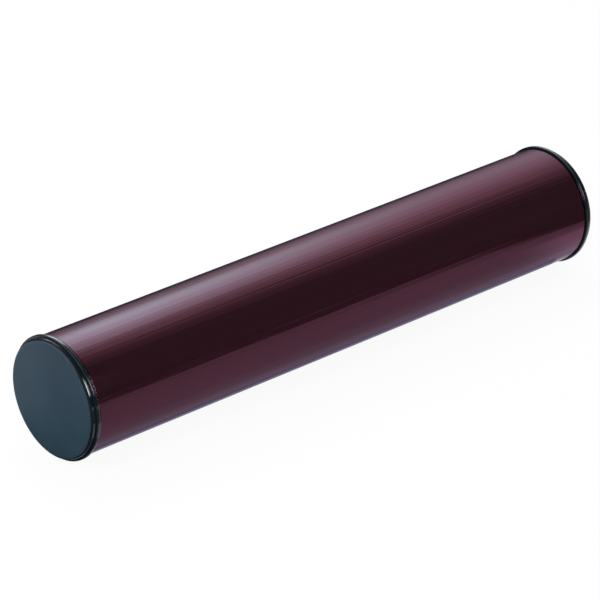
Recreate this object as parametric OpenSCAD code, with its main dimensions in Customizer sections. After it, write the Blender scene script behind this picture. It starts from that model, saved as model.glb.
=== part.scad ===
// Tube shaker, lying along X with its two lips on the ground.
// The front cap is at -X, and the shot lies along the bottom of the bore.

/* [Tube] */
// Outside diameter of the tube
tube_d = 45; // [36:0.5:60]
// Thickness of the tube's wall
tube_wall = 1.25; // [0.8:0.05:2.5]
// Length of the tube without its caps
tube_l = 241; // [160:1:320]
// Length of the deburred bevel at each end
bevel_l = 0.9; // [0.3:0.1:1.5]
// Depth of the bevel, taken off the outside
bevel_h = 0.25; // [0.1:0.05:0.5]

/* [Cap head] */
// How far the lip stands proud of the tube
lip_proud = 0.8; // [0.4:0.1:3]
// Thickness of the lip, which seats on the end of the tube
lip_t = 1.4; // [1:0.1:3]
// Rounding of the lip's two edges
lip_edge = 0.35; // [0.1:0.05:0.65]
// How far the face disc is set in from the lip
face_inset = 0.9; // [0.3:0.1:3]
// Thickness of the face disc, in front of the lip
face_t = 2.1; // [1.2:0.1:5]
// Rounding of the edge of the face
face_edge = 1.3; // [0.2:0.1:1.6]

/* [Cap plug] */
// Length of the plug inside the tube
plug_l = 12; // [8:0.5:25]
// Thickness of the plug's wall
plug_wall = 1.6; // [1:0.1:3]
// Gap between the plug's wall and the bore
plug_gap = 0.4; // [0.2:0.05:0.8]
// How far the plug's pocket runs on into the head
pocket_depth = 1.2; // [0:0.1:2]
// Bevel that leads the plug into the tube
lead_in = 0.6; // [0.2:0.1:0.9]
// Number of barbed ribs round the plug
rib_count = 3; // [1:1:4]
// Length of one rib along the plug
rib_l = 1.6; // [0.8:0.1:2.2]
// Flat crest of a rib
rib_crest = 0.5; // [0.2:0.1:0.7]
// How far a rib's crest bites into the bore
rib_grip = 0.04; // [0:0.01:0.1]

/* [Shot] */
// Diameter of one ball
shot_d = 3.5; // [2.5:0.1:4.5]
// Number of balls in one lane
lane_balls = 14; // [4:1:20]
// Number of lanes in the lower layer
lower_lanes = 9; // [3:1:11]
// Gap between a ball and the bore
bore_gap = 0.2; // [0.1:0.05:0.5]
// Gap between neighbouring balls
shot_gap = 0.25; // [0.1:0.05:0.5]

/* [Hidden] */
$fn = 64;
lower_names = [for (i = [1:lower_lanes]) str("shot_lower_", i)];
upper_names = [for (i = [1:lower_lanes - 1]) str("shot_upper_", i)];

tube_r = tube_d / 2;
bore_r = tube_r - tube_wall;
lip_r = tube_r + lip_proud;
// The lip's two roundings leave at least this flat between them
lip_flat = 0.1;
lip_round = min(lip_edge, (lip_t - lip_flat) / 2);
face_r = lip_r - face_inset;
head_t = lip_t + face_t;
plug_r = bore_r - plug_gap;
pocket_r = plug_r - plug_wall;
plug_root = head_t / 2;
rib_r = bore_r + rib_grip;
rib_root_r = (pocket_r + plug_r) / 2;
rib_pitch = plug_l / (rib_count + 1);
// The lips touch the ground, so the axis lies one lip radius above it
axis_z = lip_r;

// Three neighbouring lanes, two above and one below, form an equal-sided triangle
lane_pitch = shot_d + shot_gap;
lower_r = bore_r - bore_gap - shot_d / 2;
triangle_h = lane_pitch * sqrt(3) / 2;
upper_chord_r = lower_r - triangle_h;
upper_r = norm([upper_chord_r, lane_pitch / 2]);
lane_angle = 2 * atan2(lane_pitch / 2, upper_chord_r);

tube_colour = "#4d2734";
cap_colour = "#20272c";
shot_colour = "#b4b7ba";

// Turns a shape that stands on Z so that it lies along X, on the tube's axis
module on_axis() {
    translate([0, 0, axis_z])
        rotate([0, 90, 0])
            children();
}

// Half section of a disc, from the axis out, with its outer edges rounded
module rounded_disc(radius, thickness, edge, round_back) {
    back = round_back ? edge : 0;
    square([radius - edge, thickness]);
    translate([0, back])
        square([radius, thickness - edge - back]);
    translate([radius - edge, thickness - edge])
        circle(edge);
    if (round_back)
        translate([radius - edge, edge])
            circle(edge);
}

// Half section of the tube's wall, with a bevel at both ends
module wall_section() {
    half_l = tube_l / 2;
    polygon([
        [bore_r, -half_l],
        [tube_r - bevel_h, -half_l],
        [tube_r, bevel_l - half_l],
        [tube_r, half_l - bevel_l],
        [tube_r - bevel_h, half_l],
        [bore_r, half_l],
    ]);
}

// Half section of the plug's wall, with a lead-in bevel at its inner end and its root in the head
module plug_section() {
    polygon([
        [pocket_r, plug_root],
        [pocket_r, -plug_l],
        [plug_r - lead_in, -plug_l],
        [plug_r, lead_in - plug_l],
        [plug_r, plug_root],
    ]);
}

// Half section of one barb: a ramp on the way in and a square back, rooted in the plug's wall
module rib_section() {
    polygon([
        [rib_root_r, 0],
        [rib_r, 0],
        [rib_r, -rib_crest],
        [plug_r, -rib_l],
        [rib_root_r, -rib_l],
    ]);
}

// Head of a cap: the lip on the end of the tube, the face disc in front, the pocket behind
module cap_head() {
    difference() {
        union() {
            rotate_extrude()
                rounded_disc(lip_r, lip_t, lip_round, true);
            rotate_extrude()
                rounded_disc(face_r, head_t, face_edge, false);
        }
        translate([0, 0, -plug_l])
            cylinder(r = pocket_r, h = plug_l + pocket_depth);
    }
}

// Plug of a cap, which the barbed ribs hold in the bore
module cap_plug() {
    rotate_extrude()
        plug_section();
    for (i = [1:rib_count])
        translate([0, 0, rib_l / 2 - i * rib_pitch])
            rotate_extrude()
                rib_section();
}

module tube() {
    color(tube_colour)
        on_axis()
            rotate_extrude()
                wall_section();
}

module cap() {
    color(cap_colour)
        translate([0, 0, tube_l / 2]) {
            cap_head();
            cap_plug();
        }
}

module front_cap() {
    on_axis()
        mirror([0, 0, 1])
            cap();
}

module rear_cap() {
    on_axis()
        cap();
}

// One row of balls along the tube. The angle is measured from straight down
module shot_lane(radius, angle) {
    color(shot_colour)
        translate([0, radius * sin(angle), axis_z - radius * cos(angle)])
            for (i = [0:lane_balls - 1])
                translate([(i - (lane_balls - 1) / 2) * lane_pitch, 0, 0])
                    sphere(d = shot_d);
}

module shot_lower(lane) {
    shot_lane(lower_r, (lane - (lower_lanes + 1) / 2) * lane_angle);
}

module shot_upper(lane) {
    shot_lane(upper_r, (lane - lower_lanes / 2) * lane_angle);
}

tube();
front_cap();
rear_cap();
for (i = [1:lower_lanes])
    shot_lower(i);
for (i = [1:lower_lanes - 1])
    shot_upper(i);
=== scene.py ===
"""Finish of the tube shaker: a burgundy anodised tube with two black caps, on a white table."""
import math

import bmesh
import bpy
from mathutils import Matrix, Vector


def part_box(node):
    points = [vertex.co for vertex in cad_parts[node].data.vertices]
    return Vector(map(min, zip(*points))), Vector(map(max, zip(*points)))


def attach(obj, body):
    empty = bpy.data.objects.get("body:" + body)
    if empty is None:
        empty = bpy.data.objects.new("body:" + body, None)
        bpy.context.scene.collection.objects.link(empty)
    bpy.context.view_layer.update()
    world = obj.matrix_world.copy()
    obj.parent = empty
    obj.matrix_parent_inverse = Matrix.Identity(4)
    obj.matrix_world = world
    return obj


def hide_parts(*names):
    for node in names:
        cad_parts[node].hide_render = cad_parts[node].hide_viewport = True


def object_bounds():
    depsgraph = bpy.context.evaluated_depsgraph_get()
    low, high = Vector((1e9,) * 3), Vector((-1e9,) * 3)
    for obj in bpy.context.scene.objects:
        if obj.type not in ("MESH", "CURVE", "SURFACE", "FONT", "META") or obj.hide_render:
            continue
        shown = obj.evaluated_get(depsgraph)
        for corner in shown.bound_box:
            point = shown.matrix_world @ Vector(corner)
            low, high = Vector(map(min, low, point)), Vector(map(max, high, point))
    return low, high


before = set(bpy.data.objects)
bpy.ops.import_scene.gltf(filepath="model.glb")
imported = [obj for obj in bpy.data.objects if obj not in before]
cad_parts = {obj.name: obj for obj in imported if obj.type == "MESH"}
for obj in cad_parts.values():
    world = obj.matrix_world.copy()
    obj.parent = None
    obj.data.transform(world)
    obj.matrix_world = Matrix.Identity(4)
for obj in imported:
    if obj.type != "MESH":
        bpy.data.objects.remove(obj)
cad_low, cad_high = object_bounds()

MM = 0.001

# Sizes that the frame gives
tube_low, tube_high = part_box("tube")
cap_low, cap_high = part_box("front_cap")
axis_z = (cap_low.z + cap_high.z) / 2
tube_r = (tube_high.z - tube_low.z) / 2
tube_end = tube_high.x
face_x = cad_high.x
lip_r = (cap_high.z - cap_low.z) / 2
plug_end = -cap_high.x

# Sizes that the frame doesn't show, repeated from the part
tube_wall = 1.25 * MM
bevel_l = 0.9 * MM
bevel_h = 0.25 * MM
lip_t = 1.4 * MM
lip_edge = 0.35 * MM
face_inset = 0.9 * MM
face_edge = 1.3 * MM
plug_wall = 1.6 * MM
plug_gap = 0.4 * MM
pocket_depth = 1.2 * MM
lead_in = 0.6 * MM
rib_count = 3
rib_l = 1.6 * MM
rib_crest = 0.5 * MM

# Sizes worked out from both
bore_r = tube_r - tube_wall
lip_x = tube_end + lip_t
face_r = lip_r - face_inset
plug_r = bore_r - plug_gap
plug_l = tube_end - plug_end
rib_pitch = plug_l / (rib_count + 1)
pocket_r = plug_r - plug_wall
pocket_x = tube_end + pocket_depth

# The outer walls of a cap lean in a little towards the face, so that it leaves its mould
FACE_DRAFT = math.tan(math.radians(5))
LIP_DRAFT = math.tan(math.radians(2.5))

# Segments round the axis, and in each rounded edge
RING_SEGMENTS = 256
EDGE_SEGMENTS = 12
# The bevel tool's setting for an edge that is part of a circle
ROUND_PROFILE = 0.5
# A narrow border round a flat keeps reflections even where the flat meets a rounded edge
BORDER = 0.12 * MM
# A place on a ring is found within this distance
NEAR = 0.02 * MM
# Points closer than this are one point
DOUBLED = 0.001 * MM
# Faces that meet at a smaller angle than this are shaded as one round surface
TUBE_SMOOTH = math.radians(8)
CAP_SMOOTH = math.radians(25)
# The grain of a cap's face runs on over its rounded edge until the surface has turned by 34 degrees
GRAIN_LIMIT = math.cos(math.radians(34))


# Colours and nodes

def linear(hex_colour):
    """An sRGB hex colour as linear red, green, blue and alpha."""
    channels = [int(hex_colour[i:i + 2], 16) / 255 for i in (1, 3, 5)]
    return [c / 12.92 if c <= 0.04045 else ((c + 0.055) / 1.055) ** 2.4 for c in channels] + [1.0]


def pattern_scale(*sizes):
    """Scale of a pattern whose marks have these sizes in millimetres, along X, Y and Z."""
    return [1 / (size * MM) for size in sizes]


def add_node(tree, kind, settings=None, inputs=None):
    """Adds a node. A setting is an attribute, and an input is a value or the socket that feeds it."""
    node = tree.nodes.new(kind)
    for name, value in (settings or {}).items():
        setattr(node, name, value)
    for name, value in (inputs or {}).items():
        if isinstance(value, bpy.types.NodeSocket):
            tree.links.new(value, node.inputs[name])
        else:
            node.inputs[name].default_value = value
    return node


def new_material(name):
    """An empty material with its output node."""
    material = bpy.data.materials.new(name)
    material.use_nodes = True
    tree = material.node_tree
    tree.nodes.clear()
    return material, tree, add_node(tree, "ShaderNodeOutputMaterial")


def seen_by_eye(tree):
    """One for camera, glossy and transmitted rays, and zero for the rays that carry light."""
    path = add_node(tree, "ShaderNodeLightPath")
    eye = add_node(tree, "ShaderNodeMath", {"operation": "MAXIMUM"}, {
        0: path.outputs["Is Camera Ray"], 1: path.outputs["Is Glossy Ray"]})
    return add_node(tree, "ShaderNodeMath", {"operation": "MAXIMUM"}, {
        0: eye.outputs["Value"], 1: path.outputs["Is Transmission Ray"]}).outputs["Value"]


# Materials

# Most values of a noise lie in this range
NOISE_RANGE = {"From Min": 0.3, "From Max": 0.7}
# The dyed metal is sealed with a clear skin, on the outside and on the bevel
SEALED_METAL = {
    "Metallic": 1.0,
    "Specular Tint": linear("#b9a1bf"),
    "Coat Weight": 0.36,
    "Coat IOR": 1.5,
}


def anodised_aluminium():
    """Drawn aluminium tube, dyed burgundy and sealed: a dark coloured mirror under a clear skin.
    The drawing die leaves fine lines along the tube, which show where a light is reflected."""
    material, tree, out = new_material("anodised_aluminium_burgundy")
    place = add_node(tree, "ShaderNodeTexCoord")
    # Die lines are about 0.1 mm apart. They are drawn at 0.5 mm, because finer ones don't show
    line_place = add_node(tree, "ShaderNodeMapping", inputs={
        "Vector": place.outputs["Object"], "Scale": pattern_scale(150, 0.5, 0.5)})
    lines = add_node(tree, "ShaderNodeTexNoise", inputs={
        "Vector": line_place.outputs["Vector"], "Scale": 1.0, "Detail": 3.0})
    # A worn spot of the die leaves a sharper groove here and there, at the peaks of a wider noise
    groove_place = add_node(tree, "ShaderNodeMapping", inputs={
        "Vector": place.outputs["Object"], "Scale": pattern_scale(500, 1.5, 1.5)})
    groove_noise = add_node(tree, "ShaderNodeTexNoise", inputs={
        "Vector": groove_place.outputs["Vector"], "Scale": 1.0, "Detail": 1.0})
    grooves = add_node(tree, "ShaderNodeMapRange", inputs={
        "Value": groove_noise.outputs["Fac"], "From Min": 0.57, "From Max": 0.63, "To Max": 0.28})
    height = add_node(tree, "ShaderNodeMath", {"operation": "ADD"}, {
        0: lines.outputs["Fac"], 1: grooves.outputs["Result"]})
    # The dye takes a little unevenly, in streaks about 2 mm wide
    dye_place = add_node(tree, "ShaderNodeMapping", inputs={
        "Vector": place.outputs["Object"], "Scale": pattern_scale(300, 2.2, 2.2)})
    dye_streaks = add_node(tree, "ShaderNodeTexNoise", inputs={
        "Vector": dye_place.outputs["Vector"], "Scale": 1.0, "Detail": 3.0})
    dye_share = add_node(tree, "ShaderNodeMapRange", inputs={
        "Value": dye_streaks.outputs["Fac"], **NOISE_RANGE})
    dye = add_node(tree, "ShaderNodeMix", {"data_type": "RGBA"}, {
        "Factor": dye_share.outputs["Result"], "A": linear("#3a0d23"), "B": linear("#401128")})
    # Hands leave faint smudges, about as wide as a finger
    smudge_place = add_node(tree, "ShaderNodeMapping", inputs={
        "Vector": place.outputs["Object"], "Scale": pattern_scale(35, 14, 14)})
    smudges = add_node(tree, "ShaderNodeTexNoise", inputs={
        "Vector": smudge_place.outputs["Vector"], "Scale": 1.0, "Detail": 4.0})
    gloss = add_node(tree, "ShaderNodeMapRange", inputs={
        "Value": smudges.outputs["Fac"], **NOISE_RANGE, "To Min": 0.08, "To Max": 0.12})
    relief = add_node(tree, "ShaderNodeBump", inputs={
        "Strength": 1.0, "Distance": 0.06 * MM, "Height": height.outputs["Value"]})
    shader = add_node(tree, "ShaderNodeBsdfPrincipled", inputs={
        **SEALED_METAL,
        "Base Color": dye.outputs["Result"],
        "Roughness": gloss.outputs["Result"],
        "Normal": relief.outputs["Normal"],
        "Coat Roughness": 0.1,
        "Coat Normal": relief.outputs["Normal"],
    })
    tree.links.new(shader.outputs["BSDF"], out.inputs["Surface"])
    return material


def bevelled_aluminium():
    """The deburred bevel and the cut end of the tube. The tool leaves fine rings round the tube,
    which the dye covers more thinly, so the bevel is a lighter line."""
    material, tree, out = new_material("anodised_aluminium_turned")
    place = add_node(tree, "ShaderNodeTexCoord")
    # The tool's rings are about 0.08 mm wide. They are drawn at 0.3 mm, because finer ones don't show
    ring_place = add_node(tree, "ShaderNodeMapping", inputs={
        "Vector": place.outputs["Object"], "Scale": pattern_scale(0.3, 60, 60)})
    rings = add_node(tree, "ShaderNodeTexNoise", inputs={
        "Vector": ring_place.outputs["Vector"], "Scale": 1.0, "Detail": 2.0})
    gloss = add_node(tree, "ShaderNodeMapRange", inputs={
        "Value": rings.outputs["Fac"], **NOISE_RANGE, "To Min": 0.14, "To Max": 0.2})
    shader = add_node(tree, "ShaderNodeBsdfPrincipled", inputs={
        **SEALED_METAL,
        "Base Color": linear("#4f3541"),
        "Roughness": gloss.outputs["Result"],
        "Coat Roughness": 0.12,
    })
    tree.links.new(shader.outputs["BSDF"], out.inputs["Surface"])
    return material


def textured_abs():
    """Black ABS moulded against an eroded steel face, with a fine even grain. The black plastic's colour
    is painted
    slate blue: painted sheen, the table's light that the grain scatters, so the flat face looks slate
    blue beside the smooth rim."""
    material, tree, out = new_material("black_abs_textured")
    place = add_node(tree, "ShaderNodeTexCoord")
    # The grain is about 0.08 mm. It is drawn at 0.3 mm, because finer grain doesn't show
    grain = add_node(tree, "ShaderNodeTexNoise", inputs={
        "Vector": place.outputs["Object"], "Scale": 1 / (0.3 * MM), "Detail": 3.0})
    # The melt's flow leaves cloudy patches, about 16 mm across
    flow = add_node(tree, "ShaderNodeTexNoise", inputs={
        "Vector": place.outputs["Object"], "Scale": 1 / (16 * MM), "Detail": 3.0})
    flow_share = add_node(tree, "ShaderNodeMapRange", inputs={
        "Value": flow.outputs["Fac"], **NOISE_RANGE})
    # Painted sheen: the slate blue of both colours stands in for the table's light scattered by the
    # grain. The mix between them follows the melt's flow
    pigment_and_sheen = add_node(tree, "ShaderNodeMix", {"data_type": "RGBA"}, {
        "Factor": flow_share.outputs["Result"], "A": linear("#1f3543"), "B": linear("#253c4a")})
    gloss = add_node(tree, "ShaderNodeMapRange", inputs={
        "Value": grain.outputs["Fac"], **NOISE_RANGE, "To Min": 0.42, "To Max": 0.52})
    bumps = add_node(tree, "ShaderNodeBump", inputs={
        "Strength": 0.35, "Distance": 0.02 * MM, "Height": grain.outputs["Fac"]})
    shader = add_node(tree, "ShaderNodeBsdfPrincipled", inputs={
        "Base Color": pigment_and_sheen.outputs["Result"],
        "Roughness": gloss.outputs["Result"],
        "IOR": 1.5,
        "Specular IOR Level": 0.25,
        "Normal": bumps.outputs["Normal"],
    })
    tree.links.new(shader.outputs["BSDF"], out.inputs["Surface"])
    return material


def polished_abs():
    """The same black ABS where the mould was polished: the rim is a deep black with clear highlights."""
    material, tree, out = new_material("black_abs_polished")
    place = add_node(tree, "ShaderNodeTexCoord")
    # Scuffs of handling, about 2 mm across
    scuffs = add_node(tree, "ShaderNodeTexNoise", inputs={
        "Vector": place.outputs["Object"], "Scale": 1 / (2 * MM), "Detail": 4.0})
    gloss = add_node(tree, "ShaderNodeMapRange", inputs={
        "Value": scuffs.outputs["Fac"], **NOISE_RANGE, "To Min": 0.08, "To Max": 0.13})
    shader = add_node(tree, "ShaderNodeBsdfPrincipled", inputs={
        "Base Color": linear("#0b151b"),
        "Roughness": gloss.outputs["Result"],
        "IOR": 1.5,
        "Specular IOR Level": 0.4,
    })
    tree.links.new(shader.outputs["BSDF"], out.inputs["Surface"])
    return material


def steel_shot():
    """Tumbled steel balls: bright metal, dulled a little by rubbing on each other."""
    material, tree, out = new_material("tumbled_steel")
    place = add_node(tree, "ShaderNodeTexCoord")
    # Rub marks, about 0.6 mm across
    rub = add_node(tree, "ShaderNodeTexNoise", inputs={
        "Vector": place.outputs["Object"], "Scale": 1 / (0.6 * MM), "Detail": 4.0})
    rub_share = add_node(tree, "ShaderNodeMapRange", inputs={
        "Value": rub.outputs["Fac"], **NOISE_RANGE})
    shade = add_node(tree, "ShaderNodeMix", {"data_type": "RGBA"}, {
        "Factor": rub_share.outputs["Result"], "A": linear("#a3a6a9"), "B": linear("#bfc1c3")})
    gloss = add_node(tree, "ShaderNodeMapRange", inputs={
        "Value": rub.outputs["Fac"], **NOISE_RANGE, "To Min": 0.18, "To Max": 0.34})
    shader = add_node(tree, "ShaderNodeBsdfPrincipled", inputs={
        "Base Color": shade.outputs["Result"],
        "Metallic": 1.0,
        "Roughness": gloss.outputs["Result"],
    })
    tree.links.new(shader.outputs["BSDF"], out.inputs["Surface"])
    return material


# Modelling

def settle(name):
    """Names the object that was just added, and puts its place, turn and scale into its mesh."""
    piece = bpy.context.object
    piece.name = name
    bpy.ops.object.transform_apply(location=True, rotation=True, scale=True)
    return piece


def begin_ring(name, x, radius):
    """Starts a piece as one ring round the axis, and leaves it selected in edit mode."""
    bpy.ops.object.select_all(action="DESELECT")
    bpy.ops.mesh.primitive_circle_add(
        vertices=RING_SEGMENTS, radius=radius, location=(x, 0, axis_z), rotation=(0, math.pi / 2, 0))
    piece = settle(name)
    bpy.ops.object.mode_set(mode="EDIT")
    bpy.ops.mesh.select_mode(type="VERT")
    bpy.ops.mesh.select_all(action="SELECT")
    return piece


def draw_rings(profile):
    """Extrudes the selected ring through the places of a profile, each an x and a radius."""
    for (x, radius), (next_x, next_radius) in zip(profile, profile[1:]):
        bpy.ops.mesh.extrude_region_move(TRANSFORM_OT_translate={"value": (next_x - x, 0, 0)})
        spread = next_radius / radius
        bpy.ops.transform.resize(value=(1, spread, spread), center_override=(next_x, 0, axis_z))


def select_rings(piece, places):
    """Selects the edges that run round the axis at the given places, each an x and a radius."""
    bpy.ops.mesh.select_mode(type="EDGE")
    bpy.ops.mesh.select_all(action="DESELECT")
    mesh = bmesh.from_edit_mesh(piece.data)
    for edge in mesh.edges:
        for x, radius in places:
            if all(abs(v.co.x - x) < NEAR and abs(math.hypot(v.co.y, v.co.z - axis_z) - radius) < NEAR
                   for v in edge.verts):
                edge.select = True
    mesh.select_flush_mode()
    bmesh.update_edit_mesh(piece.data)


def round_rings(piece, places, edge):
    """Rounds the edges at the given places."""
    select_rings(piece, places)
    bpy.ops.mesh.bevel(offset=edge, segments=EDGE_SEGMENTS, profile=ROUND_PROFILE, affect="EDGES")


def close_piece(smooth_angle):
    """Merges doubled rings, turns the faces outwards and shades the round faces smooth."""
    bpy.ops.mesh.select_all(action="SELECT")
    bpy.ops.mesh.remove_doubles(threshold=DOUBLED)
    bpy.ops.mesh.normals_make_consistent(inside=False)
    bpy.ops.object.mode_set(mode="OBJECT")
    bpy.ops.object.shade_smooth_by_angle(angle=smooth_angle)


def model_tube(name):
    """The tube's wall: outside, bevel, cut end and bore, round to the outside again."""
    profile = [
        (-tube_end + bevel_l, tube_r),
        (tube_end - bevel_l, tube_r),
        (tube_end, tube_r - bevel_h),
        (tube_end, bore_r),
        (-tube_end, bore_r),
        (-tube_end, tube_r - bevel_h),
        (-tube_end + bevel_l, tube_r),
    ]
    piece = begin_ring(name, *profile[0])
    draw_rings(profile)
    close_piece(TUBE_SMOOTH)
    return piece


def model_cap(name):
    """The cap at the +X end of the tube: face, rounded edge, lip, barbed plug and pocket."""
    face = (face_x, face_r - (face_x - lip_x) * FACE_DRAFT)
    lip_front = (lip_x, lip_r - lip_t * LIP_DRAFT)
    lip_back = (tube_end, lip_r)
    pocket_floor = (pocket_x, pocket_r)
    profile = [face, (lip_x, face_r), lip_front, lip_back, (tube_end, plug_r)]
    for i in range(1, rib_count + 1):
        back = tube_end + rib_l / 2 - i * rib_pitch
        profile += [(back, plug_r), (back, bore_r), (back - rib_crest, bore_r), (back - rib_l, plug_r)]
    profile += [(plug_end + lead_in, plug_r), (plug_end, plug_r - lead_in)]
    profile += [(plug_end, pocket_r), pocket_floor]
    piece = begin_ring(name, *face)
    draw_rings(profile)
    for place in (face, pocket_floor):
        select_rings(piece, [place])
        bpy.ops.mesh.edge_face_add()
    round_rings(piece, [face], face_edge)
    round_rings(piece, [lip_front, lip_back], lip_edge)
    # The face and the floor of the pocket are the only faces with a whole ring of corners
    bpy.ops.mesh.select_mode(type="FACE")
    mesh = bmesh.from_edit_mesh(piece.data)
    for flat in mesh.faces:
        flat.select = len(flat.verts) == RING_SEGMENTS
    bmesh.update_edit_mesh(piece.data)
    bpy.ops.mesh.inset(thickness=BORDER)
    close_piece(CAP_SMOOTH)
    return piece


def mirror_cap(piece, name):
    """A copy of a cap, with its own mesh, on the other end of the tube."""
    bpy.ops.object.select_all(action="DESELECT")
    piece.select_set(True)
    bpy.context.view_layer.objects.active = piece
    bpy.ops.object.duplicate()
    bpy.context.object.scale.x = -1
    copy = settle(name)
    bpy.ops.object.mode_set(mode="EDIT")
    bpy.ops.mesh.select_all(action="SELECT")
    bpy.ops.mesh.normals_make_consistent(inside=False)
    bpy.ops.object.mode_set(mode="OBJECT")
    return copy


def give_finish(piece, finishes, chosen):
    """Puts the finishes on a piece. Chosen gives the number of the finish of one face."""
    for finish in finishes:
        piece.data.materials.append(finish)
    for face in piece.data.polygons:
        face.material_index = chosen(face)


def finish_node(name, finish):
    """Gives a CAD node one finish all over."""
    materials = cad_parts[name].data.materials
    materials.clear()
    materials.append(finish)


# The object

anodised, bevelled = anodised_aluminium(), bevelled_aluminium()
textured, polished = textured_abs(), polished_abs()

tube = model_tube("tube_shell")
wall_end = tube_end - bevel_l
give_finish(tube, [anodised, bevelled], lambda face: int(abs(face.center.x) > wall_end))
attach(tube, "shell")
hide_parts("tube")

rear_cap = model_cap("rear_cap_moulding")
# The face and the first turn of its rounded edge take the grained finish, whose slate blue is painted
# sheen
give_finish(rear_cap, [polished, textured],
            lambda face: int(face.center.x > face_x - face_edge and face.normal.x > GRAIN_LIMIT))
front_cap = mirror_cap(rear_cap, "front_cap_moulding")
for cap, name in ((rear_cap, "rear_cap"), (front_cap, "front_cap")):
    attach(cap, "shell")
    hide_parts(name)

shell_finishes = {"tube": anodised, "front_cap": polished, "rear_cap": polished}
shot_finish = steel_shot()
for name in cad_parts:
    finish_node(name, shell_finishes.get(name, shot_finish))


# The set: a white table, and round it a light tent, flags and a card that only reflections show

TABLE_HALF = 6.0
# Share of plain white in the table that the eye sees. The rest shows the object's shadow
TABLE_WHITE = 0.94
# Brightness of the room as the eye sees it, and as it lights the object
ROOM_SEEN, ROOM_LIGHT = 1.0, 0.7

TENT_R = 0.6
TENT_LOW_X, TENT_HIGH_X = -1.2, 2.0
TENT_SEGMENTS = 96
# A fade runs along the tube in metres, or round it in degrees from the front horizon over the top
# to the back one. It gives its start, its end and the shares of the light there
FRONT_FADE = ("round", 55, 124, 0.16, 1.0)
BACK_FADE = ("round", 148, 184, 1.0, 0.15)
# The tent's lights, each with a colour, a strength and fades
TENT_LIGHTS = (
    # Plain cloth: dark in front, white overhead, darker low at the back, dim where the near cap shows it
    ("#fffaf2", 2.1, (FRONT_FADE, BACK_FADE,
                      ("along", 0.2, 0.245, 0.12, 1.0), ("along", 0.64, 0.76, 1.0, 0.03))),
    # The same cloth beyond the near end
    ("#e0eeff", 1.9, (FRONT_FADE, BACK_FADE, ("along", -0.42, -0.26, 1.0, 0.0))),
    # A cool bright core behind the top, stronger towards the near cap
    ("#a5ffe5", 7.5, (("round", 86, 132, 0.0, 1.0), ("round", 138, 160, 1.0, 0.0),
                      ("along", 0.235, 0.25, 0.0, 1.0), ("along", 0.22, 0.58, 1.0, 0.1))),
    # A whiter patch beside it, which the lip of the near cap shows
    ("#e4f0ff", 7.5, (("round", 113, 126, 0.0, 1.0), ("round", 150, 170, 1.0, 0.0),
                      ("along", 0.155, 0.17, 0.0, 1.0), ("along", 0.215, 0.23, 1.0, 0.0))),
    # A soft box in front, which the walls of the near cap show as streaks
    ("#f4faff", 28.0, (("round", 15, 20, 0.0, 1.0), ("round", 34, 50, 1.0, 0.0),
                       ("along", -0.05, -0.02, 0.0, 1.0), ("along", 0.07, 0.095, 1.0, 0.08),
                       ("along", 0.2, 0.22, 1.0, 0.0))),
)

# The flags and the card lie just over the table
FLAG_Z = 0.3 * MM
# Lines that they share along the tube: before the near face, under the near lip and near the far bevel
near_face_x = -(face_x + 16 * MM)
near_lip_x = -(tube_end + 1 * MM)
far_bevel_x = tube_end - 2.5 * MM
# Lines that they share across the tube: the front of the set, and both sides of the strip under the tube
SET_FRONT_Y = -1.0
UNDER_FRONT_Y, UNDER_BACK_Y = -0.0155, 0.03
# The card's sides, and the place along it from which it is brightest
CARD_NEAR_X, CARD_FAR_X = 0.1, 0.165
CARD_FRONT_Y, CARD_BACK_Y = -0.045, -0.0175
CARD_BRIGHT_X = 0.135
# A gap in the flags beside the near cap, and the front of the flag before it
GAP_FRONT_Y, GAP_BACK_Y = -0.0546, -0.0293
BESIDE_FRONT_Y = -0.2
# Slanted edges of the flags, each with its two corners
RIGHT_SLANT = ((CARD_FAR_X, CARD_FRONT_Y), (-0.2, SET_FRONT_Y))
LEFT_SLANT = ((near_face_x, 0.04), (TENT_LOW_X, 1.21))
FOOT_SLANT = ((near_lip_x, 0.02), (near_face_x, 0.04))
CORNER_SLANT = ((-0.11, GAP_BACK_Y), (-0.1166, UNDER_FRONT_Y))
BESIDE_SLANT = ((-0.0224, BESIDE_FRONT_Y), (-0.097, GAP_FRONT_Y))


def white_table():
    """Matt white table top. The eye sees it near white, with the object's soft shadow kept."""
    material, tree, out = new_material("matt_white_table")
    matt = add_node(tree, "ShaderNodeBsdfDiffuse", inputs={"Color": linear("#e6e6e6")})
    white = add_node(tree, "ShaderNodeEmission", inputs={"Color": linear("#ffffff"), "Strength": 1.0})
    share = add_node(tree, "ShaderNodeMath", {"operation": "MULTIPLY"}, {
        0: seen_by_eye(tree), 1: TABLE_WHITE})
    mix = add_node(tree, "ShaderNodeMixShader", inputs={
        "Fac": share.outputs["Value"], 1: matt.outputs["BSDF"], 2: white.outputs["Emission"]})
    tree.links.new(mix.outputs["Shader"], out.inputs["Surface"])
    return material


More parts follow.
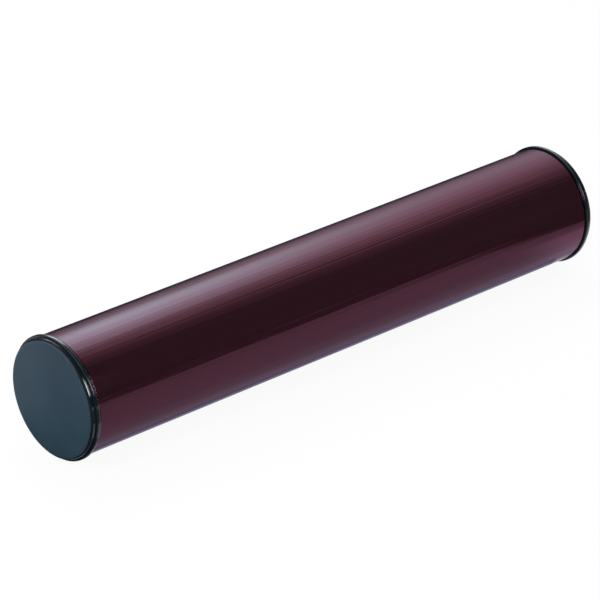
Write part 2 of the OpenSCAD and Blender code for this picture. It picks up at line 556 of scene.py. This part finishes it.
def tent_cloth():
    """Cloth of the light tent round the tube, with its own lights and dark parts."""
    material, tree, out = new_material("light_tent_cloth")
    place = add_node(tree, "ShaderNodeTexCoord")
    axes = add_node(tree, "ShaderNodeSeparateXYZ", inputs={"Vector": place.outputs["Object"]})
    height = add_node(tree, "ShaderNodeMath", {"operation": "SUBTRACT"}, {
        0: axes.outputs["Z"], 1: axis_z})
    front = add_node(tree, "ShaderNodeMath", {"operation": "MULTIPLY"}, {
        0: axes.outputs["Y"], 1: -1.0})
    turn = add_node(tree, "ShaderNodeMath", {"operation": "ARCTAN2"}, {
        0: height.outputs["Value"], 1: front.outputs["Value"]})
    angle = add_node(tree, "ShaderNodeMath", {"operation": "DEGREES"}, {0: turn.outputs["Value"]})
    way = {"round": angle.outputs["Value"], "along": axes.outputs["X"]}
    total = add_node(tree, "ShaderNodeEmission", inputs={"Strength": 0.0}).outputs["Emission"]
    for colour, strength, fades in TENT_LIGHTS:
        for direction, start, end, share_before, share_after in fades:
            fade = add_node(tree, "ShaderNodeMapRange", {"interpolation_type": "SMOOTHSTEP"}, {
                "Value": way[direction], "From Min": start, "From Max": end,
                "To Min": share_before, "To Max": share_after})
            strength = add_node(tree, "ShaderNodeMath", {"operation": "MULTIPLY"}, {
                0: strength, 1: fade.outputs["Result"]}).outputs["Value"]
        glow = add_node(tree, "ShaderNodeEmission", inputs={
            "Color": linear(colour), "Strength": strength})
        total = add_node(tree, "ShaderNodeAddShader", inputs={
            0: total, 1: glow.outputs["Emission"]}).outputs["Shader"]
    tree.links.new(total, out.inputs["Surface"])
    return material


def flag_cloth(name, colour, brightness):
    """Dark cloth of the flags, so that the parts beside the lights stay dark. Some flags are painted
    shadow of the table under and round the object.
    """
    material, tree, out = new_material(name)
    glow = add_node(tree, "ShaderNodeEmission", inputs={
        "Color": linear(colour), "Strength": brightness})
    tree.links.new(glow.outputs["Emission"], out.inputs["Surface"])
    return material


def white_card():
    """White card on the table by the far end, as bright as the table at first and brighter further out.
    The far end of the tube shows it."""
    material, tree, out = new_material("white_card")
    place = add_node(tree, "ShaderNodeTexCoord")
    axes = add_node(tree, "ShaderNodeSeparateXYZ", inputs={"Vector": place.outputs["Object"]})
    brightness = add_node(tree, "ShaderNodeMapRange", {"interpolation_type": "SMOOTHSTEP"}, {
        "Value": axes.outputs["X"], "From Min": CARD_NEAR_X, "From Max": CARD_BRIGHT_X,
        "To Min": 0.98, "To Max": 1.7})
    glow = add_node(tree, "ShaderNodeEmission", inputs={
        "Color": linear("#ffffff"), "Strength": brightness.outputs["Result"]})
    tree.links.new(glow.outputs["Emission"], out.inputs["Surface"])
    return material


def only_in_reflections(panel):
    """Leaves a set piece out of the picture and of the light on the table."""
    panel.visible_camera = False
    panel.visible_diffuse = False
    panel.visible_shadow = False


def rectangle(low_x, low_y, high_x, high_y):
    """The four corners of a rectangle, in order round it."""
    return [(low_x, low_y), (high_x, low_y), (high_x, high_y), (low_x, high_y)]


def flat_sheet(name, corners, height, cloth):
    """A flat sheet on or just over the table, with its four corners in order round it."""
    bpy.ops.object.select_all(action="DESELECT")
    bpy.ops.mesh.primitive_plane_add(size=1, location=(0, 0, height))
    sheet = settle(name)
    for number, (x, y) in zip(sheet.data.polygons[0].vertices, corners):
        sheet.data.vertices[number].co.xy = (x, y)
    sheet.data.materials.append(cloth)
    return sheet


flat_sheet("table", rectangle(-TABLE_HALF, -TABLE_HALF, TABLE_HALF, TABLE_HALF), 0.0, white_table())

bpy.ops.object.select_all(action="DESELECT")
bpy.ops.mesh.primitive_cylinder_add(
    vertices=TENT_SEGMENTS, radius=TENT_R, depth=TENT_HIGH_X - TENT_LOW_X, end_fill_type="NGON",
    location=((TENT_LOW_X + TENT_HIGH_X) / 2, 0, axis_z), rotation=(0, math.pi / 2, 0))
tent = settle("light_tent")
tent.data.materials.append(tent_cloth())
only_in_reflections(tent)

warm_flag = flag_cloth("warm_grey_flag_cloth", "#fff6e8", 0.29)
grey_flag = flag_cloth("grey_flag_cloth", "#e6f0ff", 0.27)
# Painted shadow: the pale and black flags stand for the table's shade under and round the object, as
# reflections show it
pale_flag = flag_cloth("pale_flag_cloth", "#e6f0ff", 0.55)
black_flag = flag_cloth("black_flag_cloth", "#e6f0ff", 0.08)
for name, cloth, corners in (
    # In front of the tube, from a slanted edge to the far end of the tent
    ("flag_right", warm_flag, [
        *RIGHT_SLANT, (TENT_HIGH_X, SET_FRONT_Y), (TENT_HIGH_X, CARD_FRONT_Y)]),
    # Beyond the near end, back to a slanted edge
    ("flag_left", grey_flag, [
        (TENT_LOW_X, SET_FRONT_Y), (near_face_x, SET_FRONT_Y), *LEFT_SLANT]),
    # A dark strip at the foot of the near face: painted shadow of the table there, which only
    # reflections show
    ("flag_foot", black_flag, [
        (near_face_x, SET_FRONT_Y), (near_lip_x, SET_FRONT_Y), *FOOT_SLANT]),
    # Two pieces beside the near lip, with the gap between them: painted shadow of the table round the
    # near cap, which only reflections show
    ("flag_corner", grey_flag, [
        (near_lip_x, GAP_BACK_Y), *CORNER_SLANT, (near_lip_x, UNDER_FRONT_Y)]),
    ("flag_front", grey_flag, [
        (near_lip_x, BESIDE_FRONT_Y), *BESIDE_SLANT, (near_lip_x, GAP_FRONT_Y)]),
    # Under the tube and behind it: painted shadow of the table, pale under the tube and black behind it,
    # which only reflections show
    ("flag_under", pale_flag, rectangle(near_lip_x, UNDER_FRONT_Y, far_bevel_x, UNDER_BACK_Y)),
    ("flag_back", black_flag, rectangle(near_lip_x, UNDER_BACK_Y, TENT_HIGH_X, TENT_R)),
    ("card_far", white_card(), rectangle(CARD_NEAR_X, CARD_FRONT_Y, CARD_FAR_X, CARD_BACK_Y)),
):
    only_in_reflections(flat_sheet(name, corners, FLAG_Z, cloth))

world = bpy.data.worlds.new("white_room")
world.use_nodes = True
bpy.context.scene.world = world
room = world.node_tree
room.nodes.clear()
room_out = add_node(room, "ShaderNodeOutputWorld")
room_seen = add_node(room, "ShaderNodeBackground", inputs={
    "Color": linear("#ffffff"), "Strength": ROOM_SEEN})
room_light = add_node(room, "ShaderNodeBackground", inputs={
    "Color": linear("#ffffff"), "Strength": ROOM_LIGHT})
room_mix = add_node(room, "ShaderNodeMixShader", inputs={
    "Fac": seen_by_eye(room), 1: room_light.outputs["Background"], 2: room_seen.outputs["Background"]})
room.links.new(room_mix.outputs["Shader"], room_out.inputs["Surface"])

middle = Vector((0, 0, axis_z))


def set_up(holder, place, target):
    """Puts a lamp or the camera into the scene at a place, turned to a target."""
    holder.location = place
    holder.rotation_euler = (target - place).to_track_quat("-Z", "Y").to_euler()
    bpy.context.scene.collection.objects.link(holder)


def soft_box(name, place, width, power):
    """A square soft box at a place, turned to the middle of the object."""
    lamp = bpy.data.lights.new(name, "AREA")
    lamp.shape = "SQUARE"
    lamp.size = width
    lamp.energy = power
    set_up(bpy.data.objects.new(name, lamp), Vector(place), middle)


soft_box("key_box", place=(-0.75, -0.2, 0.75), width=0.4, power=5.0)
soft_box("top_box", place=(0.08, 0.42, 0.56), width=0.22, power=2.0)


# The camera of the photograph

CAMERA_DISTANCE = 1.352
CAMERA_AZIMUTH = math.radians(227.78)
CAMERA_ELEVATION = math.radians(26.12)
# Width of the sensor in millimetres
SENSOR_WIDTH = 36
# Width of the picture and focal length, in the picture's pixels
IMAGE_SIZE = 600
FOCAL_PIXELS = 3666
# Where the object's middle lies in the picture, in pixels from its centre to the right and up
MIDDLE_RIGHT, MIDDLE_UP = 14.45, 4.29

camera_data = bpy.data.cameras.new("camera")
camera_data.sensor_width = SENSOR_WIDTH
camera_data.lens = SENSOR_WIDTH * FOCAL_PIXELS / IMAGE_SIZE
camera = bpy.data.objects.new("camera", camera_data)
back = Vector((
    math.cos(CAMERA_ELEVATION) * math.cos(CAMERA_AZIMUTH),
    math.cos(CAMERA_ELEVATION) * math.sin(CAMERA_AZIMUTH),
    math.sin(CAMERA_ELEVATION),
))
right = Vector((0, 0, 1)).cross(back).normalized()
up = back.cross(right)
metres_per_pixel = CAMERA_DISTANCE / FOCAL_PIXELS
aim = middle - (right * MIDDLE_RIGHT + up * MIDDLE_UP) * metres_per_pixel
set_up(camera, middle + back * CAMERA_DISTANCE, aim)
bpy.context.scene.camera = camera
bpy.context.scene.view_settings.view_transform = "Standard"
